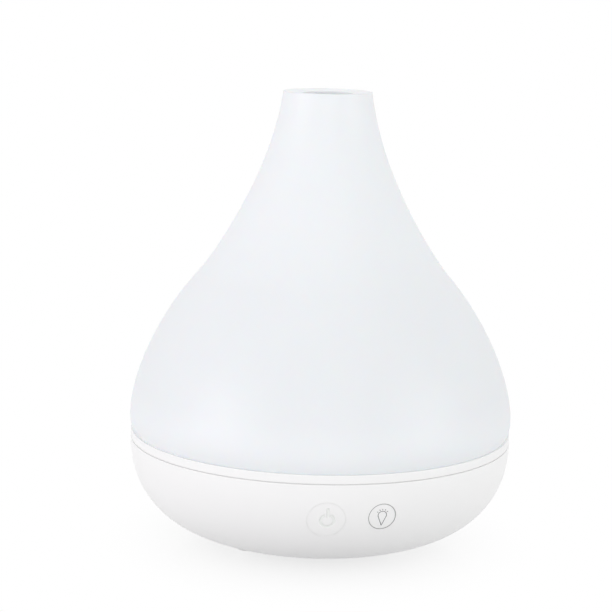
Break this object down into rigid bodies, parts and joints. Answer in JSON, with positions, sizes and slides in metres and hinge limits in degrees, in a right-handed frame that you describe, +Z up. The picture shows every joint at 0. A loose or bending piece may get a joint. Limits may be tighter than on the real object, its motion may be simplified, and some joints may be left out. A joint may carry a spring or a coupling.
{
  "type": "cool mist humidifier",
  "caption": "Teardrop ultrasonic cool mist humidifier: bowl base with round push buttons, water tank, inner lid with chimney, frosted lift-off cover with mist outlet.",
  "frame": {"origin": "centre of the footprint, on the plane of the feet's undersides", "axes": "+Z up out of the mist outlet, -Y towards the front with the mist button, +X to the right seen from the front"},
  "size_m": [0.1404, 0.1404, 0.1665],
  "materials": {
    "frosted_cover": "frosted, slightly translucent",
    "milky_lid": "milky translucent",
    "tank_plastic": "satin white",
    "base_plastic": "satin white",
    "button_plastic": "satin white",
    "foot_rubber": "soft, pale",
    "seal_rubber": "soft silicone",
    "transducer_metal": "bright",
    "steel": "bright",
    "lamp_board": "white solder mask",
    "led_lens": "clear lens",
    "circuit_board": "green solder mask",
    "black_package": "moulded",
    "capacitor_can": "satin",
    "heatsink_metal": "anodised",
    "connector_plastic": "ivory",
    "plunger_plastic": "moulded",
    "fan_plastic": "moulded",
    "bearing_brass": "bright",
    "winding_copper": "enamelled wire",
    "jack_plastic": "moulded"
  },
  "bodies": {
    "base": {"water_tank": "tank_plastic", "duct_cap": "milky_lid", "transducer_disc": "transducer_metal", "transducer_seal": "seal_rubber", "transducer_clamp": "steel", "transducer_screws": "steel", "led_board": "lamp_board", "leds": "led_lens", "main_board": "circuit_board", "control_chip": "black_package", "capacitors": "capacitor_can", "power_inductor": "black_package", "drive_transistor": "black_package", "heatsink": "heatsink_metal", "connectors": "connector_plastic", "board_screws": "steel", "button_board": "circuit_board", "switch_bodies": "black_package", "panel_screws": "steel", "fan_frame": "fan_plastic", "fan_bearing": "bearing_brass", "fan_stator": "winding_copper", "fan_screws": "steel", "dc_jack": "jack_plastic", "dc_jack_pin": "steel", "base_shell": "base_plastic", "rubber_feet": "foot_rubber", "base_screws": "steel"},
    "inner_lid": {"inner_lid": "milky_lid"},
    "cover": {"outer_cover": "frosted_cover"},
    "mist_button": {"mist_button": "button_plastic", "mist_plunger": "plunger_plastic"},
    "light_button": {"light_button": "button_plastic", "light_plunger": "plunger_plastic"},
    "fan_rotor": {"fan_rotor": "fan_plastic", "fan_shaft": "steel"}
  },
  "joints": [
    {"name": "inner_lid_lift", "type": "slide", "parent": "base", "child": "inner_lid", "axis": [0, 0, 1], "range_m": [0, 0.05]},
    {"name": "cover_lift", "type": "slide", "parent": "inner_lid", "child": "cover", "axis": [0, 0, 1], "range_m": [0, 0.12]},
    {"name": "mist_press", "type": "slide", "parent": "base", "child": "mist_button", "axis": [-0.1444, 0.9895, 0], "range_m": [0, 0.0005], "stiffness_N_per_m": 1600, "springref_m": -0.0005},
    {"name": "light_press", "type": "slide", "parent": "base", "child": "light_button", "axis": [-0.1444, 0.9895, 0], "range_m": [0, 0.0005], "stiffness_N_per_m": 1600, "springref_m": -0.0005},
    {"name": "fan_spin", "type": "hinge", "parent": "base", "child": "fan_rotor", "pos_m": [-0.02728, 0.01575, 0.0145], "axis": [0, 0, 1], "continuous": true}
  ]
}
